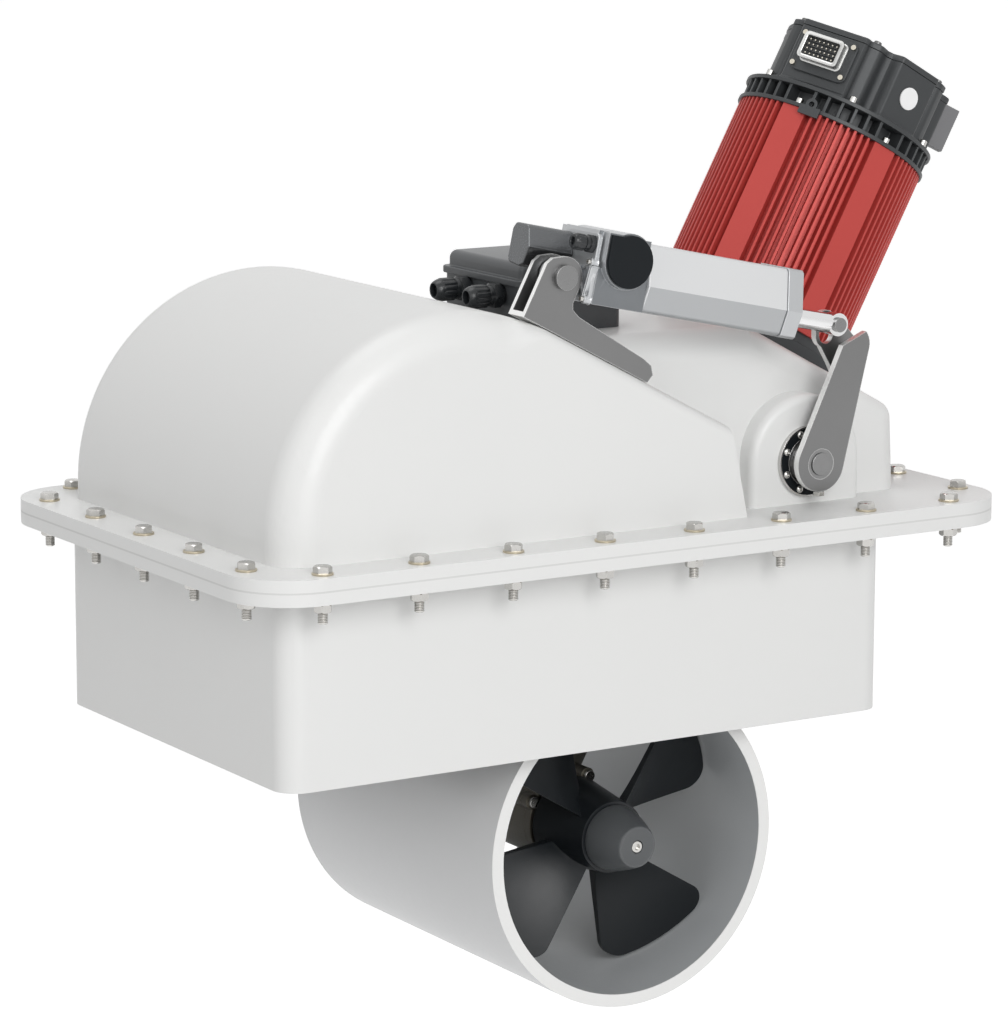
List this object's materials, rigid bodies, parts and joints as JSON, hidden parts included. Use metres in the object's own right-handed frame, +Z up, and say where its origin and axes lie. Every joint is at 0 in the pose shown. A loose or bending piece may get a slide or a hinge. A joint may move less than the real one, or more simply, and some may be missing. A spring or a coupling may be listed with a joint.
{
  "type": "underwater thruster",
  "caption": "Retractable swing thruster: white hull skirt and domed housing, red finned motor, linear actuator and lever, tunnel with its propeller, swung down.",
  "frame": {"origin": "centre of the bolt pattern on the joint plane between the skirt flange and the housing flange", "axes": "+Z up away from the water, +X along the flange towards the motor end, +Y across the flange away from the lever side"},
  "size_m": [0.7998, 0.456, 0.7897],
  "materials": {
    "skirt_gelcoat": "satin white gelcoat on laminate",
    "housing_gelcoat": "satin white gelcoat on laminate",
    "tunnel_white": "satin white gelcoat on laminate",
    "cradle_white": "white coated casting",
    "gasket_rubber": "light grey sealing sheet",
    "bolt_steel": "plain stainless steel",
    "nut_steel": "plain stainless steel",
    "washer_steel": "plain washer with a warm tint",
    "bearing_steel": "turned stainless steel",
    "cover_black": "black moulded plastic",
    "screw_steel": "bright stainless screws",
    "screw_dark": "dark coated screws",
    "pin_steel": "ground stainless pin",
    "bracket_steel": "bent stainless sheet",
    "lever_steel": "bent stainless sheet",
    "motor_black": "black coated casting",
    "motor_red": "red anodised aluminium fins",
    "connector_metal": "bare connector shell",
    "pin_contacts": "plated contacts",
    "disc_white": "plain white disc",
    "terminal_grey": "grey plate",
    "box_grey": "dark grey moulded plastic",
    "gland_black": "black moulded plastic",
    "shaft_steel": "ground steel shaft",
    "gear_steel": "steel gear blank",
    "leg_bronze": "dark bronze casting",
    "propeller_black": "black composite",
    "nose_grey": "dark grey composite",
    "tube_aluminium": "brushed aluminium profile",
    "cap_aluminium": "grey anodised casting",
    "gearbox_aluminium": "bead blasted casting",
    "small_motor_grey": "dark anodised profile",
    "rod_chrome": "hard chromed rod"
  },
  "bodies": {
    "housing": {"hull_skirt": "skirt_gelcoat", "flange_gasket": "gasket_rubber", "upper_housing": "housing_gelcoat", "flange_bolts": "bolt_steel", "flange_washers": "washer_steel", "flange_nuts": "nut_steel", "bearing_rings": "bearing_steel", "bearing_covers": "cover_black", "bearing_screws": "screw_steel", "actuator_bracket": "bracket_steel", "bracket_screws": "screw_steel", "clevis_pin": "pin_steel", "motor_foot": "motor_black", "motor_foot_screws": "screw_steel", "motor_lower_bell": "motor_black", "motor_body": "motor_red", "motor_fin_ring": "motor_black", "motor_cap": "motor_black", "motor_lid": "motor_black", "motor_ring_screws": "screw_steel", "lid_screws": "screw_dark", "motor_connector": "connector_metal", "connector_pins": "pin_contacts", "motor_blank_disc": "disc_white", "motor_terminal_plate": "terminal_grey", "motor_eyelet_lug": "motor_black", "control_box": "box_grey", "control_box_lid": "box_grey", "cable_glands": "gland_black"},
    "swing_unit": {"pivot_shaft_near": "shaft_steel", "pivot_shaft_far": "shaft_steel", "pivot_bolt": "pin_steel", "lever_clamp_screw": "screw_steel", "lever_arm": "lever_steel", "swing_cradle": "cradle_white", "tunnel": "tunnel_white", "saddle_bolts": "screw_steel", "gear_leg": "leg_bronze", "leg_front_cover": "leg_bronze", "leg_cover_bolts": "screw_steel", "leg_rear_cover": "leg_bronze", "leg_top_cap": "leg_bronze"},
    "actuator_barrel": {"actuator_tube": "tube_aluminium", "actuator_end_cap": "cap_aluminium", "actuator_gearbox": "gearbox_aluminium", "actuator_cap": "cover_black", "actuator_motor": "small_motor_grey", "actuator_gland": "gland_black", "actuator_screws": "screw_steel"},
    "actuator_ram": {"actuator_rod": "rod_chrome", "rod_pin": "pin_steel"},
    "motor_rotor": {"motor_shaft": "shaft_steel"},
    "leg_drive": {"leg_shaft": "shaft_steel", "joint_cross": "shaft_steel", "bevel_pinion": "gear_steel"},
    "propeller_set": {"propeller": "propeller_black", "nose_cone": "nose_grey", "nose_screw": "screw_steel", "propeller_shaft": "shaft_steel", "bevel_wheel": "gear_steel"}
  },
  "joints": [
    {"name": "swing", "type": "hinge", "parent": "housing", "child": "swing_unit", "pos_m": [0.19, 0, 0.046], "axis": [0, 1, 0], "range_deg": [0, 58]},
    {"name": "actuator_tilt", "type": "hinge", "parent": "housing", "child": "actuator_barrel", "pos_m": [-0.05856, -0.165, 0.2163], "axis": [0, 1, 0], "range_deg": [0, 8]},
    {"name": "actuator_stroke", "type": "slide", "parent": "actuator_barrel", "child": "actuator_ram", "axis": [0.9779, 0, -0.2089], "range_m": [0, 0.102]},
    {"name": "motor_spin", "type": "hinge", "parent": "housing", "child": "motor_rotor", "pos_m": [0.19, 0, 0.046], "axis": [0.4833, 0, 0.8755], "continuous": true},
    {"name": "leg_spin", "type": "hinge", "parent": "swing_unit", "child": "leg_drive", "pos_m": [0.19, 0, 0.046], "axis": [0.4833, 0, 0.8755], "continuous": true},
    {"name": "propeller_spin", "type": "hinge", "parent": "swing_unit", "child": "propeller_set", "pos_m": [0.02211, 0, -0.25814], "axis": [0, 1, 0], "continuous": true}
  ],
  "couplings": [
    {"joint": "actuator_tilt", "follows": "swing", "ratio": 0.13668},
    {"joint": "actuator_stroke", "follows": "swing", "m_per_rad": 0.10051},
    {"joint": "leg_spin", "follows": "motor_spin", "ratio": 1},
    {"joint": "propeller_spin", "follows": "motor_spin", "ratio": -0.75}
  ]
}
